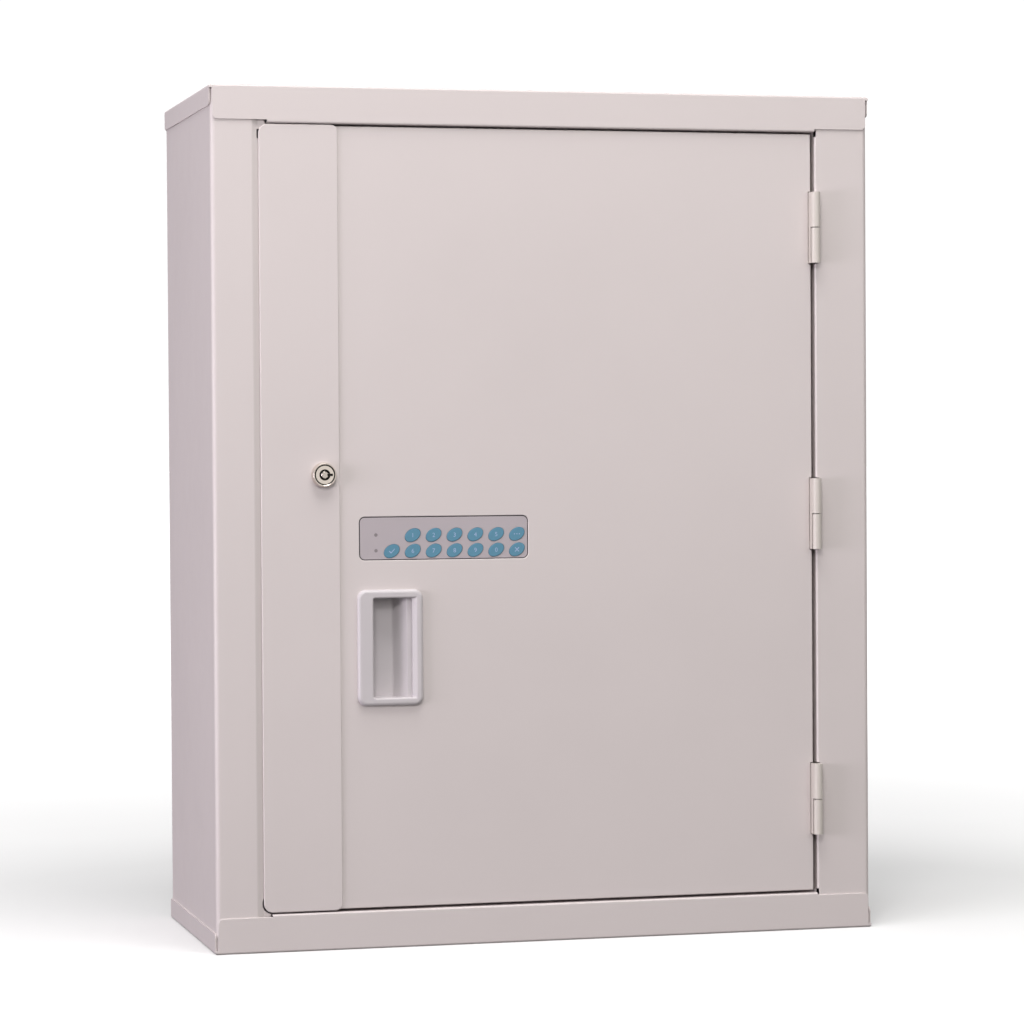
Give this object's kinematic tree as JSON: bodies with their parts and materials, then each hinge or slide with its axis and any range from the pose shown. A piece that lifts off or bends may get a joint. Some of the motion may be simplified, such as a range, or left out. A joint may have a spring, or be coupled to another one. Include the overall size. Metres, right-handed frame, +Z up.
{
  "type": "phone charging cabinet",
  "caption": "Wall-hung sheet-steel charging cabinet with one hinged door, keypad bolt, tubular key lock, recessed pull and two shelves of phone slots with USB sockets.",
  "frame": {"origin": "bottom centre of the whole object's box", "axes": "+Z up, front faces -Y, hinges on the +X side"},
  "size_m": [0.6, 0.2592, 0.75],
  "materials": {
    "cabinet_paint": "fine satin powder coat",
    "hinge_paint": "satin paint",
    "pull_plastic": "moulded, fine satin grain",
    "fascia_film": "fine matt overlay",
    "key_blue": "matt printed key",
    "led_lens": "clear lens",
    "lock_chrome": "polished",
    "lock_nickel": "satin nickel",
    "zinc_steel": "zinc plated",
    "shelf_paint": "satin powder coat",
    "divider_paint": "fine texture powder coat",
    "charger_case": "spark-eroded grain",
    "lock_case": "fine grain",
    "socket_metal": "nickel plated",
    "inlet_plastic": "moulded",
    "switch_plastic": "moulded",
    "board": "solder mask",
    "battery_jacket": "plain jacket",
    "rubber": "moulded",
    "keypad_rubber": "silicone"
  },
  "bodies": {
    "cabinet": {"left_side_panel": "cabinet_paint", "right_side_panel": "cabinet_paint", "back_panel": "cabinet_paint", "top_cap": "cabinet_paint", "bottom_cap": "cabinet_paint", "cable_grommet": "rubber", "shelf_uprights": "zinc_steel", "shelf_clips": "zinc_steel", "hinge_frame_leaves": "hinge_paint", "hinge_pins": "zinc_steel", "frame_hinge_plates": "cabinet_paint", "strike_plate": "zinc_steel", "door_buffers": "rubber", "charger_boards": "board", "lower_shelf": "shelf_paint", "lower_phone_dividers": "divider_paint", "lower_charger_housing": "charger_case", "lower_usb_sockets": "socket_metal", "lower_power_inlet": "inlet_plastic", "upper_shelf": "shelf_paint", "upper_phone_dividers": "divider_paint", "upper_charger_housing": "charger_case", "upper_usb_sockets": "socket_metal", "upper_power_inlet": "inlet_plastic"},
    "door": {"door_pan": "cabinet_paint", "lock_strip": "cabinet_paint", "door_stiffener": "cabinet_paint", "hinge_door_leaves": "hinge_paint", "hinge_backing_plates": "cabinet_paint", "handle_cup": "pull_plastic", "keypad_fascia": "fascia_film", "led_lenses": "led_lens", "keypad_mat": "keypad_rubber", "keypad_board": "board", "lock_case": "lock_case", "case_screws": "zinc_steel", "battery_cover": "lock_case", "batteries": "battery_jacket", "bolt_motor": "zinc_steel", "lock_housing": "lock_chrome", "lock_nut": "zinc_steel"},
    "lock_cylinder": {"lock_plug": "lock_nickel", "lock_cam": "zinc_steel", "cam_nut": "zinc_steel"},
    "deadbolt": {"lock_bolt": "zinc_steel"},
    "lower_rocker": {"lower_power_switch": "switch_plastic"},
    "upper_rocker": {"upper_power_switch": "switch_plastic"},
    "key_1_cap": {"key_1": "key_blue"},
    "key_2_cap": {"key_2": "key_blue"},
    "key_3_cap": {"key_3": "key_blue"},
    "key_4_cap": {"key_4": "key_blue"},
    "key_5_cap": {"key_5": "key_blue"},
    "key_program_cap": {"key_program": "key_blue"},
    "key_enter_cap": {"key_enter": "key_blue"},
    "key_6_cap": {"key_6": "key_blue"},
    "key_7_cap": {"key_7": "key_blue"},
    "key_8_cap": {"key_8": "key_blue"},
    "key_9_cap": {"key_9": "key_blue"},
    "key_0_cap": {"key_0": "key_blue"},
    "key_clear_cap": {"key_clear": "key_blue"}
  },
  "joints": [
    {"name": "door_hinge", "type": "hinge", "parent": "cabinet", "child": "door", "pos_m": [0.24785, -0.1256, 0.375], "axis": [0, 0, 1], "range_deg": [0, 180]},
    {"name": "key_turn", "type": "hinge", "parent": "door", "child": "lock_cylinder", "pos_m": [-0.2019, -0.1104, 0.4134], "axis": [0, -1, 0], "range_deg": [0, 90]},
    {"name": "bolt_slide", "type": "slide", "parent": "door", "child": "deadbolt", "axis": [-1, 0, 0], "range_m": [0, 0.014]},
    {"name": "lower_power_rocker", "type": "hinge", "parent": "cabinet", "child": "lower_rocker", "pos_m": [0.175, 0.09, 0.2192], "axis": [1, 0, 0], "range_deg": [0, 12]},
    {"name": "upper_power_rocker", "type": "hinge", "parent": "cabinet", "child": "upper_rocker", "pos_m": [0.175, 0.09, 0.4942], "axis": [1, 0, 0], "range_deg": [0, 12]},
    {"name": "press_1", "type": "slide", "parent": "door", "child": "key_1_cap", "axis": [0, 1, 0], "range_m": [0, 0.0005], "stiffness_N_per_m": 1200, "springref_m": -0.0005},
    {"name": "press_2", "type": "slide", "parent": "door", "child": "key_2_cap", "axis": [0, 1, 0], "range_m": [0, 0.0005], "stiffness_N_per_m": 1200, "springref_m": -0.0005},
    {"name": "press_3", "type": "slide", "parent": "door", "child": "key_3_cap", "axis": [0, 1, 0], "range_m": [0, 0.0005], "stiffness_N_per_m": 1200, "springref_m": -0.0005},
    {"name": "press_4", "type": "slide", "parent": "door", "child": "key_4_cap", "axis": [0, 1, 0], "range_m": [0, 0.0005], "stiffness_N_per_m": 1200, "springref_m": -0.0005},
    {"name": "press_5", "type": "slide", "parent": "door", "child": "key_5_cap", "axis": [0, 1, 0], "range_m": [0, 0.0005], "stiffness_N_per_m": 1200, "springref_m": -0.0005},
    {"name": "press_program", "type": "slide", "parent": "door", "child": "key_program_cap", "axis": [0, 1, 0], "range_m": [0, 0.0005], "stiffness_N_per_m": 1200, "springref_m": -0.0005},
    {"name": "press_enter", "type": "slide", "parent": "door", "child": "key_enter_cap", "axis": [0, 1, 0], "range_m": [0, 0.0005], "stiffness_N_per_m": 1200, "springref_m": -0.0005},
    {"name": "press_6", "type": "slide", "parent": "door", "child": "key_6_cap", "axis": [0, 1, 0], "range_m": [0, 0.0005], "stiffness_N_per_m": 1200, "springref_m": -0.0005},
    {"name": "press_7", "type": "slide", "parent": "door", "child": "key_7_cap", "axis": [0, 1, 0], "range_m": [0, 0.0005], "stiffness_N_per_m": 1200, "springref_m": -0.0005},
    {"name": "press_8", "type": "slide", "parent": "door", "child": "key_8_cap", "axis": [0, 1, 0], "range_m": [0, 0.0005], "stiffness_N_per_m": 1200, "springref_m": -0.0005},
    {"name": "press_9", "type": "slide", "parent": "door", "child": "key_9_cap", "axis": [0, 1, 0], "range_m": [0, 0.0005], "stiffness_N_per_m": 1200, "springref_m": -0.0005},
    {"name": "press_0", "type": "slide", "parent": "door", "child": "key_0_cap", "axis": [0, 1, 0], "range_m": [0, 0.0005], "stiffness_N_per_m": 1200, "springref_m": -0.0005},
    {"name": "press_clear", "type": "slide", "parent": "door", "child": "key_clear_cap", "axis": [0, 1, 0], "range_m": [0, 0.0005], "stiffness_N_per_m": 1200, "springref_m": -0.0005}
  ]
}
